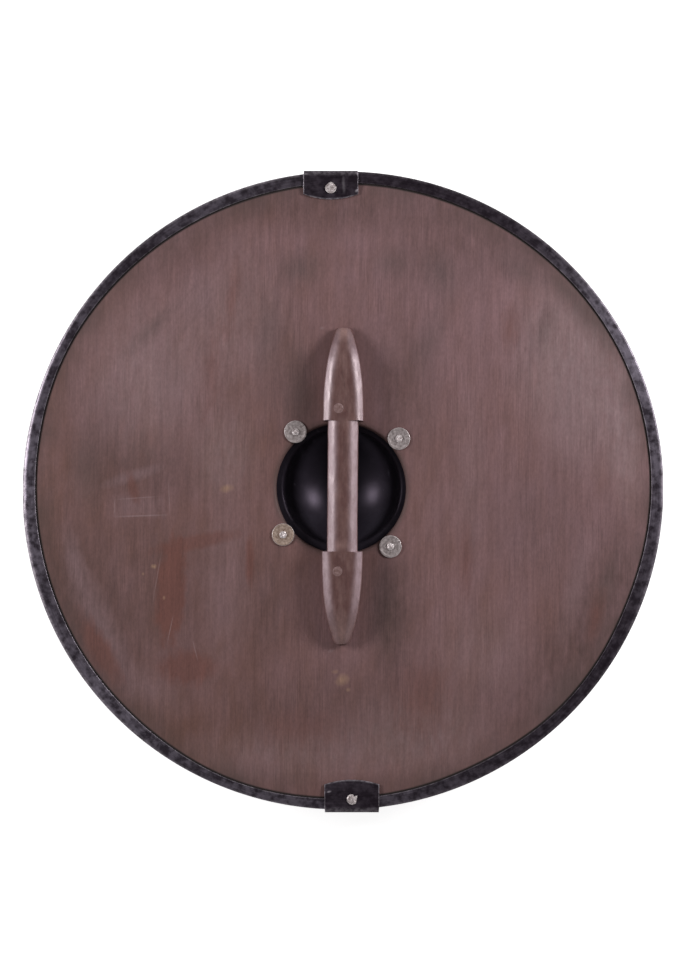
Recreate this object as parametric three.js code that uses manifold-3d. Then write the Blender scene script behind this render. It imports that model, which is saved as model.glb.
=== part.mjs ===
import * as THREE from 'three';
import { mergeVertices } from 'three/addons/utils/BufferGeometryUtils.js';
import Module from 'manifold-3d';

// A wooden round shield with an iron boss and rim, lying on its boss with the grip side up.
// Millimetres, +Z up. The origin is on the ground under the middle of the board, and +Y runs
// along the grip towards the top clip.

const wasm = await Module();
wasm.setup();

// Driving dimensions
const shieldRadius = 380;
const boardThickness = 10;
const bossDepth = 54;
const fitGap = 0.3;
const hubRise = 4;
const hubShift = -1.1;

// Rim: a steel channel in two halves, which meet under the clips
const rimSheet = 1.5;
const rimFlange = 14;
const rimCorner = 1.2;
const rimEndGap = 18;
const rimTurn = THREE.MathUtils.degToRad(1.9);

// Board: one disc with a round hand hole
const boardRadius = shieldRadius - rimSheet - fitGap;
const handHoleRadius = 77;

// Boss: a pressed bowl with a wide flange and a small flat at its lowest point
const bossSheet = 1.6;
const bossFlangeRadius = 110;
const bossBowlRadius = 73.5;
const bossFlatRadius = 15;
const bossMouthRound = 3.5;

// Rivets
const shankRadius = 3;
const holeRadius = shankRadius + 0.4;
const frontHeadRadius = 7;
const frontHeadHeight = 4;
const bossPeenRadius = 4.5;
const washerRadius = 13.2;
const washerThickness = 1.6;
const peenHeight = 2;

// Grip: a round-shouldered hand bar that ends in two spearheads, cut from one stick
const gripShift = new THREE.Vector2(0.9, 1.2);
const gripHalfLength = 187.8;
const gripThickness = 26;
const handHalfLength = 77.2;
const handHalfWidth = 18.4;
const handRound = 9;
const handUnderRound = 6;
const bladeShoulderHalf = 24.4;
const bladeTipHalf = 8.4;
const bladeTipHeight = 10;
const bladeFullness = 2.65;
const bladeRound = 6.8;
const bladeRoundSwell = 2.7;
const bladeSlopeStart = 0.62;
const bladeSlopePower = 1.6;
const bladeUnderRound = 0.5;
const tipCorner = 4;
const gripPlugRadius = 5.6;
const gripPlugDepth = 1.8;

// Clips: folded steel saddles over the rim joints, one rivet through each
const clipSheet = 1.5;
const clipWidth = 65;
const clipWebGap = 0.5;
const clipFold = 1.5;
const clipBendRadius = 362.5;
const clipCornerCut = 1;
const clipPeenRadius = 6.8;
const clipPeenHeight = 2.6;
const topClip = { across: -14.4, turn: 0, depthMiddle: 35, depthEnds: 29, rivetDepth: 22.9, seatDrop: 0.5 };
const bottomClip = {
  across: 10.6, turn: Math.PI, depthMiddle: 38.6, depthEnds: 33.7, rivetDepth: 15.8, seatDrop: 0.2,
};

// Heights of the stack, from the ground up
const boardFront = bossDepth + fitGap;
const boardBack = boardFront + boardThickness;
const boardMiddle = (boardFront + boardBack) / 2;
const onBoard = boardBack + fitGap;
const rimBack = onBoard + rimSheet;

const rimSegments = 96;
const bossSegments = 40;
const bowlSteps = 10;
const mouthSteps = 3;
const boardSegments = 72;
const rivetSegments = 12;
const washerSegments = 20;

const stainedWood = new THREE.MeshStandardMaterial({ color: '#6c5454', roughness: 0.75, metalness: 0 });
const gripWood = new THREE.MeshStandardMaterial({ color: '#8d7173', roughness: 0.6, metalness: 0 });
const blackPaint = new THREE.MeshStandardMaterial({ color: '#141217', roughness: 0.35, metalness: 0.2 });
const blackenedSteel = new THREE.MeshStandardMaterial({ color: '#423a40', roughness: 0.5, metalness: 0.8 });
const bareSteel = new THREE.MeshStandardMaterial({ color: '#a59a91', roughness: 0.45, metalness: 0.9 });

// A closed geometry as a solid that can be joined and cut.
function toSolid(geometry) {
  const bare = geometry.clone();
  bare.deleteAttribute('normal');
  bare.deleteAttribute('uv');
  const merged = mergeVertices(bare, 1e-4);
  const corners = merged.index.array;
  const triangles = [];
  for (let i = 0; i < corners.length; i += 3) {
    const [a, b, c] = [corners[i], corners[i + 1], corners[i + 2]];
    if (a !== b && b !== c && c !== a) triangles.push(a, b, c);
  }
  return new wasm.Manifold(new wasm.Mesh({
    numProp: 3,
    vertProperties: new Float32Array(merged.attributes.position.array),
    triVerts: new Uint32Array(triangles),
  }));
}

function toGeometry(solid) {
  const mesh = solid.getMesh();
  const geometry = new THREE.BufferGeometry();
  geometry.setAttribute('position', new THREE.BufferAttribute(mesh.vertProperties, 3));
  geometry.setIndex(new THREE.BufferAttribute(mesh.triVerts, 1));
  geometry.computeVertexNormals();
  return geometry;
}

function namedMesh(name, geometry, material) {
  const mesh = new THREE.Mesh(geometry, material);
  mesh.name = name;
  return mesh;
}

// A profile of (radius, height) points, outer side running upwards, turned about +Z.
function turned(points, segments) {
  return new THREE.LatheGeometry(points, segments).rotateX(Math.PI / 2);
}

function box(lowX, highX, lowY, highY, lowZ, highZ) {
  return new THREE.BoxGeometry(highX - lowX, highY - lowY, highZ - lowZ)
    .translate((lowX + highX) / 2, (lowY + highY) / 2, (lowZ + highZ) / 2);
}

// A round cutter for a hole along Z, from the ground to well above the part.
function drill(radius, x, y, low = 0, high = 2 * bossDepth) {
  return toSolid(new THREE.CylinderGeometry(radius, radius, high - low, rivetSegments)
    .rotateX(Math.PI / 2)
    .translate(x, y, (low + high) / 2));
}

// The path moved sideways by distance, to the left of its direction.
function offsetPath(path, distance) {
  const normals = path.slice(1).map((point, i) => {
    const along = point.clone().sub(path[i]).normalize();
    return new THREE.Vector2(-along.y, along.x);
  });
  return path.map((point, i) => {
    const before = normals[Math.max(i - 1, 0)];
    const after = normals[Math.min(i, normals.length - 1)];
    const mitre = distance / (1 + before.dot(after));
    return point.clone().addScaledVector(before, mitre).addScaledVector(after, mitre);
  });
}

// Points on an arc of the given centre and radius, between two angles in radians.
function arc(x, y, radius, from, to, steps) {
  return Array.from({ length: steps + 1 }, (_, i) => {
    const angle = from + (to - from) * i / steps;
    return new THREE.Vector2(x + radius * Math.cos(angle), y + radius * Math.sin(angle));
  });
}

function closedLoop(points) {
  return [...points, points[0].clone()];
}

// Where the hand-set rivets stand, from the middle of the hub.
const bossRivetPlaces = [
  new THREE.Vector2(67.5, 57.4),
  new THREE.Vector2(-55.1, 65.6),
  new THREE.Vector2(-69.8, -56.4),
  new THREE.Vector2(57.4, -70.4),
];
const gripRivetPlaces = [
  new THREE.Vector2(-4, 93),
  new THREE.Vector2(-5.2, -99.2),
];

function makeBoard() {
  const disc = new THREE.Shape().absarc(0, 0, boardRadius, 0, 2 * Math.PI, false);
  disc.holes.push(new THREE.Path().absarc(hubShift, hubRise, handHoleRadius, 0, 2 * Math.PI, true));
  const blank = new THREE.ExtrudeGeometry(disc, {
    depth: boardThickness,
    bevelEnabled: false,
    curveSegments: boardSegments / 2,
  }).translate(0, 0, boardFront);
  let board = toSolid(blank);
  for (const place of [...bossRivetPlaces, ...gripRivetPlaces]) {
    board = board.subtract(drill(holeRadius, place.x + hubShift, place.y + hubRise));
  }
  for (const clip of [topClip, bottomClip]) {
    const along = (clipWebOuter() - clip.rivetDepth) * Math.cos(clip.turn);
    board = board.subtract(drill(holeRadius, clip.across, along));
  }
  return toGeometry(board);
}

function makeRimHalf(side) {
  const low = boardMiddle - (rimBack - boardMiddle);
  const inner = shieldRadius - rimFlange;
  const web = shieldRadius - rimSheet;
  const section = [
    [inner, low],
    [shieldRadius - rimCorner, low],
    [shieldRadius, low + rimCorner],
    [shieldRadius, rimBack - rimCorner],
    [shieldRadius - rimCorner, rimBack],
    [inner, rimBack],
    [inner, rimBack - rimSheet],
    [web, rimBack - rimSheet],
    [web, low + rimSheet],
    [inner, low + rimSheet],
  ].map(([radius, height]) => new THREE.Vector2(radius, height));
  const ring = toSolid(turned(closedLoop(section), rimSegments));
  const reach = shieldRadius + 10;
  const halfBox = side < 0
    ? box(-reach, -rimEndGap / 2, -reach, reach, 0, 2 * bossDepth)
    : box(rimEndGap / 2, reach, -reach, reach, 0, 2 * bossDepth);
  return toGeometry(ring.intersect(toSolid(halfBox)));
}

function makeBoss() {
  const flangeFront = bossDepth - bossSheet;
  const bowlHeight = Math.sqrt(bossBowlRadius ** 2 - bossFlatRadius ** 2);
  // The mouth's rounding touches the flange's front face and the bowl from outside.
  const roundHeight = flangeFront - bossMouthRound;
  const reach = bossBowlRadius + bossMouthRound;
  const roundRadius = Math.sqrt(reach ** 2 - (bowlHeight - roundHeight) ** 2);
  const touch = Math.atan2(roundHeight - bowlHeight, roundRadius);
  const flatEdge = Math.atan2(-bowlHeight, bossFlatRadius);
  const front = [
    new THREE.Vector2(0, 0),
    ...arc(0, bowlHeight, bossBowlRadius, flatEdge, touch, bowlSteps),
    ...arc(roundRadius, roundHeight, bossMouthRound, Math.PI + touch, Math.PI / 2, mouthSteps).slice(1),
    new THREE.Vector2(bossFlangeRadius, flangeFront),
  ];
  const back = offsetPath(front, bossSheet);
  let boss = toSolid(turned([...front, ...back.reverse()], bossSegments));
  for (const place of [...bossRivetPlaces, ...gripRivetPlaces]) {
    boss = boss.subtract(drill(holeRadius, place.x, place.y));
  }
  return toGeometry(boss);
}

// A rivet along Z: domed head on the front, straight shank, hammered head on the back.
function makeRivet(frontSeat, backSeat, peenRadius, height) {
  const lip = 0.8;
  const dome = [0, 1, 2, 3].map((step) => {
    const angle = step / 3 * Math.PI / 2;
    const rise = (frontHeadHeight - lip) * Math.cos(angle);
    return new THREE.Vector2(frontHeadRadius * Math.sin(angle), frontSeat - lip - rise);
  });
  return turned([
    ...dome,
    new THREE.Vector2(frontHeadRadius, frontSeat),
    new THREE.Vector2(shankRadius, frontSeat),
    new THREE.Vector2(shankRadius, backSeat),
    new THREE.Vector2(peenRadius, backSeat),
    new THREE.Vector2(peenRadius * 0.93, backSeat + height * 0.55),
    new THREE.Vector2(peenRadius * 0.55, backSeat + height),
    new THREE.Vector2(0, backSeat + height),
  ], rivetSegments);
}

function makeWasher() {
  const edge = 0.4;
  const top = onBoard + washerThickness;
  const section = [
    [holeRadius, onBoard],
    [washerRadius, onBoard],
    [washerRadius, top - edge],
    [washerRadius - edge, top],
    [holeRadius, top],
  ].map(([radius, height]) => new THREE.Vector2(radius, height));
  return turned(closedLoop(section), washerSegments);
}

// Half the width of a spearhead, from its shoulder (0) to its tip (1), with rounded tip corners.
function bladeHalfWidth(t) {
  const tapered = bladeShoulderHalf - (bladeShoulderHalf - bladeTipHalf) * t ** bladeFullness;
  const fromTip = Math.min((1 - t) * (gripHalfLength - handHalfLength), tipCorner);
  return tapered - tipCorner + Math.sqrt(tipCorner ** 2 - (tipCorner - fromTip) ** 2);
}

// The spearhead's face falls away towards its tip.
function bladeHeight(t) {
  const fall = Math.max(0, (t - bladeSlopeStart) / (1 - bladeSlopeStart));
  return gripThickness - (gripThickness - bladeTipHeight) * fall ** bladeSlopePower;
}

// The rounding of the spearhead's edges is widest halfway and leaves a narrow face at the tip.
function bladeRounding(t) {
  return Math.min(bladeRound + bladeRoundSwell * Math.sin(t * Math.PI), 0.55 * bladeHalfWidth(t));
}

// A bar along +Y from a grid box, with its long edges rounded over by the given widths.
function makeBar(stations, placeAlong, halfWidth, height, roundTop, roundBottom) {
  const across = 6;
  const bar = new THREE.BoxGeometry(2, 1, 1, across, stations, 1);
  const spots = bar.attributes.position;
  for (let i = 0; i < spots.count; i += 1) {
    const side = spots.getX(i);
    const t = spots.getY(i) + 0.5;
    const isTop = spots.getZ(i) > 0;
    const width = halfWidth(t);
    const round = isTop ? roundTop(t) : roundBottom;
    const edge = Math.max(0, (Math.abs(side) - 1 / 3) * 1.5);
    const turn = edge * Math.PI / 2;
    const inner = Math.min(Math.abs(side) * 3, 1) * (width - round);
    const x = Math.sign(side) * (inner + round * Math.sin(turn));
    const drop = round * (1 - Math.cos(turn));
    spots.setXYZ(i, x, placeAlong(t), onBoard + (isTop ? height(t) - drop : drop));
  }
  return toSolid(bar);
}

function makeGrip() {
  const bladeLength = gripHalfLength - handHalfLength;
  const stations = 14;
  const nearTip = (t) => Math.sin(t * Math.PI / 2);
  const blade = makeBar(
    stations,
    (t) => handHalfLength + bladeLength * nearTip(t),
    (t) => bladeHalfWidth(nearTip(t)),
    (t) => bladeHeight(nearTip(t)),
    (t) => bladeRounding(nearTip(t)),
    bladeUnderRound,
  );
  const overlap = 1;
  const handLength = 2 * (handHalfLength + overlap);
  const hand = makeBar(
    2,
    (t) => (t - 0.5) * handLength,
    () => handHalfWidth,
    () => gripThickness,
    () => handRound,
    handUnderRound,
  );
  let grip = blade.add(blade.rotate([0, 0, 180])).add(hand);
  const plugFloor = onBoard + gripThickness - gripPlugDepth - fitGap;
  for (const hubPlace of gripRivetPlaces) {
    const place = hubPlace.clone().sub(gripShift);
    grip = grip.subtract(drill(holeRadius, place.x, place.y));
    grip = grip.subtract(drill(gripPlugRadius + fitGap, place.x, place.y, plugFloor));
  }
  return toGeometry(grip);
}

function clipWebOuter() {
  return shieldRadius + clipWebGap + clipSheet;
}

// A clip's folded sheet with its rivet hole, +Y outwards. thicken adds that much to each face.
function makeClipSolid(clip, thicken) {
  const outer = clipWebOuter();
  const webInner = outer - clipSheet;
  const legEnd = outer - clip.depthMiddle;
  const legSeat = rimBack + fitGap;
  const backLeg = [
    new THREE.Vector2(legEnd, onBoard),
    new THREE.Vector2(clipBendRadius, legSeat),
    ...arc(webInner - clipFold, legSeat - clipFold, clipFold, Math.PI / 2, 0, 3),
  ];
  const frontLeg = backLeg.map((point) => new THREE.Vector2(point.x, 2 * boardMiddle - point.y));
  const inside = [...backLeg, ...frontLeg.reverse()];
  const innerFace = offsetPath(inside, -thicken);
  const outerFace = offsetPath(inside, clipSheet + thicken);
  const outline = new THREE.Shape([...innerFace, ...outerFace.reverse()]);
  const folded = new THREE.ExtrudeGeometry(outline, {
    depth: clipWidth,
    bevelEnabled: false,
  }).translate(0, 0, -clipWidth / 2).applyMatrix4(new THREE.Matrix4().makeBasis(
    new THREE.Vector3(0, 1, 0),
    new THREE.Vector3(0, 0, 1),
    new THREE.Vector3(1, 0, 0),
  ));
  const half = clipWidth / 2;
  const ends = outer - clip.depthEnds;
  const middleControl = outer - 2 * clip.depthMiddle + clip.depthEnds;
  const plan = new THREE.Shape()
    .moveTo(half, ends)
    .lineTo(half, outer - clipCornerCut)
    .lineTo(half - clipCornerCut, outer + 1)
    .lineTo(clipCornerCut - half, outer + 1)
    .lineTo(-half, outer - clipCornerCut)
    .lineTo(-half, ends)
    .quadraticCurveTo(0, middleControl, half, ends);
  const trimmed = new THREE.ExtrudeGeometry(plan, {
    depth: 2 * bossDepth,
    bevelEnabled: false,
    curveSegments: 8,
  });
  return toSolid(folded)
    .intersect(toSolid(trimmed))
    .subtract(drill(holeRadius, 0, outer - clip.rivetDepth));
}

// The clip's rivet heads sit on its sloping legs, so their seats are cut to the clip's faces.
function makeClipRivet(clip) {
  const place = clipWebOuter() - clip.rivetDepth;
  const seat = rimBack + clipSheet - boardMiddle - clip.seatDrop;
  const blank = makeRivet(boardMiddle - seat, boardMiddle + seat, clipPeenRadius, clipPeenHeight)
    .translate(0, place, 0);
  return toGeometry(toSolid(blank).subtract(makeClipSolid(clip, fitGap)));
}

const shield = new THREE.Group();
shield.add(namedMesh('board', makeBoard(), stainedWood));

const rim = new THREE.Group();
rim.rotation.z = rimTurn;
rim.add(namedMesh('rim_left', makeRimHalf(-1), blackenedSteel));
rim.add(namedMesh('rim_right', makeRimHalf(1), blackenedSteel));
shield.add(rim);

for (const [where, clip] of [['top', topClip], ['bottom', bottomClip]]) {
  const holder = new THREE.Group();
  holder.position.x = clip.across;
  holder.rotation.z = clip.turn;
  holder.add(namedMesh(`clip_${where}`, toGeometry(makeClipSolid(clip, 0)), blackenedSteel));
  holder.add(namedMesh(`clip_rivet_${where}`, makeClipRivet(clip), bareSteel));
  shield.add(holder);
}

const hub = new THREE.Group();
hub.position.set(hubShift, hubRise, 0);
hub.add(namedMesh('boss', makeBoss(), blackPaint));
const grip = namedMesh('grip', makeGrip(), gripWood);
grip.position.set(gripShift.x, gripShift.y, 0);
hub.add(grip);
const frontSeat = bossDepth - bossSheet - fitGap;
bossRivetPlaces.forEach((place, i) => {
  const backSeat = onBoard + washerThickness + fitGap;
  const geometry = makeRivet(frontSeat, backSeat, bossPeenRadius, peenHeight);
  const rivet = namedMesh(`boss_rivet_${i + 1}`, geometry, bareSteel);
  const washer = namedMesh(`boss_washer_${i + 1}`, makeWasher(), bareSteel);
  for (const piece of [rivet, washer]) {
    piece.position.set(place.x, place.y, 0);
    hub.add(piece);
  }
});
gripRivetPlaces.forEach((place, i) => {
  const backSeat = onBoard + gripThickness - gripPlugDepth;
  const geometry = makeRivet(frontSeat, backSeat, gripPlugRadius, gripPlugDepth - 0.1);
  const rivet = namedMesh(`grip_rivet_${i === 0 ? 'top' : 'bottom'}`, geometry, bareSteel);
  rivet.position.set(place.x, place.y, 0);
  hub.add(rivet);
});
shield.add(hub);

export default shield;
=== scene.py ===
import math

import bmesh
import bpy
from mathutils import Matrix, Vector, noise


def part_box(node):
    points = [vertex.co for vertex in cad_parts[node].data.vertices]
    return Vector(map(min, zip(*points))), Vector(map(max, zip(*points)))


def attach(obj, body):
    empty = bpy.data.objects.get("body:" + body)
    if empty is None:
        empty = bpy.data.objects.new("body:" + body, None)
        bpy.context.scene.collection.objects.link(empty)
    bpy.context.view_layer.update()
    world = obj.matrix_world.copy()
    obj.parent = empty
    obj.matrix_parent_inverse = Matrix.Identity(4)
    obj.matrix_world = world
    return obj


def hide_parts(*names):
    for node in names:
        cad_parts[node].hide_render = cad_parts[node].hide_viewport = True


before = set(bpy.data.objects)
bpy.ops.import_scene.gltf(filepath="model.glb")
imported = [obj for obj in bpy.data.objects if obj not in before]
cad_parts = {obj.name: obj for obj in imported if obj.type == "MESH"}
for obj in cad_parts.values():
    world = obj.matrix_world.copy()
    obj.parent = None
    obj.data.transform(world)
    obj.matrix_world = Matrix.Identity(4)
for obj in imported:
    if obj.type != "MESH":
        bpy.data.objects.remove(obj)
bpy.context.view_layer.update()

# Lengths in this script are millimetres; mm turns them into metres.
mm = 0.001
scene = bpy.context.scene


# Camera and light

view = {
    "rimPixels": 320.4,       # half the rim's width in the photograph
    "rimCentre": (342.9, 490.5),
    "pictureSize": (700, 980),
    "distance": 3600,
    "sensor": 36,
}

lights = {
    "right": {"offVertical": 61, "azimuth": 20.8, "power": 28.5},
    "left": {"offVertical": 62, "azimuth": 166.5, "power": 24.5},
    "away": 1900,
    "width": 430,
    "height": 700,
    "skyColour": "#FFFFFF",
    "skyAbove": 0.11,         # the room is dark behind the camera and bright round about
    "skyAround": 0.48,
}


def centreOf(node):
    low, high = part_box(node)
    return (low + high) / 2


def linearColour(text):
    parts = [int(text[i:i + 2], 16) / 255 for i in (1, 3, 5)]
    return tuple(p / 12.92 if p <= 0.04045 else ((p + 0.055) / 1.055) ** 2.4 for p in parts) + (1,)


rimLow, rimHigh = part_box("rim_left")
boardLow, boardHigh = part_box("board")
shieldRadius = -rimLow.x / mm

print("camera")
metresPerPixel = shieldRadius * mm / view["rimPixels"]
camera = bpy.data.objects.new("camera", bpy.data.cameras.new("camera"))
scene.collection.objects.link(camera)
scene.camera = camera
middle = [side / 2 for side in view["pictureSize"]]
camera.location = (
    (middle[0] - view["rimCentre"][0]) * metresPerPixel,
    (view["rimCentre"][1] - middle[1]) * metresPerPixel,
    rimHigh.z + view["distance"] * mm,
)
camera.data.sensor_width = view["sensor"]
camera.data.lens = view["sensor"] * view["distance"] * mm / (view["pictureSize"][1] * metresPerPixel)
camera.data.clip_end = 20


# Small tools

def softStep(low, high, value):
    t = min(max((value - low) / (high - low), 0), 1)
    return t * t * (3 - 2 * t)


def arcPoints(centreX, centreZ, radius, start, end, steps):
    angles = [math.radians(start + (end - start) * i / steps) for i in range(steps + 1)]
    return [(centreX + radius * math.cos(a), centreZ + radius * math.sin(a)) for a in angles]


def spinProfile(profile, steps, turn=360, start=0):
    # profile is a closed outline of (radius, height), spun round the Z axis
    bm = bmesh.new()
    corners = [bm.verts.new((r * mm, 0, z * mm)) for r, z in profile]
    edges = [bm.edges.new((a, b)) for a, b in zip(corners, corners[1:])]
    if min(profile[0][0], profile[-1][0]) > 0:
        edges.append(bm.edges.new((corners[-1], corners[0])))
    turnStart = Matrix.Rotation(math.radians(start), 3, "Z")
    bmesh.ops.rotate(bm, verts=corners, cent=(0, 0, 0), matrix=turnStart)
    bmesh.ops.spin(bm, geom=corners + edges, cent=(0, 0, 0), axis=(0, 0, 1),
                   angle=math.radians(turn), steps=steps, use_merge=turn == 360)
    bmesh.ops.remove_doubles(bm, verts=bm.verts, dist=1e-6)
    if turn != 360:
        ends = [e for e in bm.edges if e.is_boundary]
        bmesh.ops.holes_fill(bm, edges=ends, sides=0)
    bmesh.ops.recalc_face_normals(bm, faces=bm.faces)
    return bm


def addPiece(name, bm, material, nodes, sharpAngle=40):
    mesh = bpy.data.meshes.new(name)
    bm.to_mesh(mesh)
    bm.free()
    piece = bpy.data.objects.new(name, mesh)
    scene.collection.objects.link(piece)
    mesh.materials.append(material)
    mesh.shade_smooth()
    mesh.set_sharp_from_angle(angle=math.radians(sharpAngle))
    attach(piece, "root")
    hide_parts(*nodes)
    return piece


def settle(piece):
    # turns what the modifiers make into the piece's own mesh
    graph = bpy.context.evaluated_depsgraph_get()
    made = bpy.data.meshes.new_from_object(piece.evaluated_get(graph))
    piece.modifiers.clear()
    piece.data = made


def drillHoles(piece, places, radius, bottom=-50, top=150):
    bm = bmesh.new()
    for x, y in places:
        bmesh.ops.create_cone(bm, cap_ends=True, segments=32, radius1=radius * mm, radius2=radius * mm,
                              depth=(top - bottom) * mm,
                              matrix=Matrix.Translation((x, y, (top + bottom) / 2 * mm)))
    mesh = bpy.data.meshes.new("drill")
    bm.to_mesh(mesh)
    bm.free()
    bits = bpy.data.objects.new("drill", mesh)
    scene.collection.objects.link(bits)
    cut = piece.modifiers.new("holes", "BOOLEAN")
    cut.object = bits
    cut.operation = "DIFFERENCE"
    cut.solver = "EXACT"
    settle(piece)
    bpy.data.objects.remove(bits)


def newMaterial(name):
    material = bpy.data.materials.new(name)
    material.use_nodes = True
    return material, material.node_tree, material.node_tree.nodes["Principled BSDF"]


def wire(tree, node, inputs):
    # inputs go from a socket's name or number to a number, a hex colour or another node's output
    for key, value in inputs.items():
        if isinstance(value, bpy.types.NodeSocket):
            tree.links.new(value, node.inputs[key])
        else:
            node.inputs[key].default_value = linearColour(value) if isinstance(value, str) else value


def addNode(tree, kind, inputs, out=0, **settings):
    node = tree.nodes.new("ShaderNode" + kind)
    for key, value in settings.items():
        setattr(node, key, value)
    wire(tree, node, inputs)
    return node.outputs[out]


blend = {"out": 2, "data_type": "RGBA"}
darken = {"out": 2, "data_type": "RGBA", "blend_type": "MULTIPLY"}


def localPlace(tree, centre, turn, scale):
    # Object coordinates measured from centre, turned, and divided by scale; all in mm and degrees
    place = addNode(tree, "TexCoord", {}, "Object")
    inputs = {"Vector": place, "Location": Vector(centre) * mm, "Rotation": (0, 0, math.radians(turn)),
              "Scale": Vector(scale) * mm}
    return addNode(tree, "Mapping", inputs, vector_type="TEXTURE")


def clouds(tree, scale, detail=3, turn=0, shift=(0, 0, 0)):
    place = localPlace(tree, shift, turn, scale)
    return addNode(tree, "TexNoise", {"Vector": place, "Scale": 1.0, "Detail": detail, "Roughness": 0.55})


def shade(tree, colour, pattern, low, high, dark, light):
    amount = addNode(tree, "MapRange", {0: pattern, 1: low, 2: high, 3: dark, 4: light})
    return addNode(tree, "Mix", {0: 1.0, 6: colour, 7: amount}, **darken)


def patch(tree, mark, torn, raggedness):
    # a soft-edged spot, 1 inside and 0 outside: picture x and y, half width and half length in mm,
    # turn in degrees, softness, and "box" for square ends
    x, y = spot(mark[0], mark[1])
    local = localPlace(tree, (x, y, 0), mark[4], (mark[2], mark[3], 10000))
    if "box" in mark:
        sides = addNode(tree, "VectorMath", {0: local}, operation="ABSOLUTE")
        across = addNode(tree, "SeparateXYZ", {0: sides})
        reach = addNode(tree, "Math", {0: across, 1: across.node.outputs["Y"]}, operation="MAXIMUM")
    else:
        reach = addNode(tree, "VectorMath", {0: local}, "Value", operation="LENGTH")
    reach = addNode(tree, "Math", {0: torn, 1: raggedness, 2: reach}, operation="MULTIPLY_ADD")
    end = 1 + raggedness / 2
    return addNode(tree, "MapRange", {0: reach, 1: end - mark[5], 2: end, 3: 1, 4: 0})


def addMarks(tree, colour, marks, over, torn, raggedness=0.45):
    # what the marks leave bare is multiplied up first, so that one mix does for the whole list
    bare = 1.0
    for strength, *mark in marks:
        beside = addNode(tree, "Math", {0: patch(tree, mark, torn, raggedness), 1: -strength, 2: 1.0},
                         operation="MULTIPLY_ADD")
        bare = addNode(tree, "Math", {0: bare, 1: beside}, operation="MULTIPLY")
    return addNode(tree, "Mix", {0: bare, 6: over, 7: colour}, **blend)


def awayFrom(tree, x, y):
    local = localPlace(tree, (x, y, 0), 0, (1, 1, 1e6))
    return addNode(tree, "VectorMath", {0: local}, "Value", operation="LENGTH")


def spot(pictureX, pictureY):
    # a place in the photograph's pixels, in millimetres on the shield
    centreX, centreY = view["rimCentre"]
    pixel = metresPerPixel / mm
    return (pictureX - centreX) * pixel, (centreY - pictureY) * pixel


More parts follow.
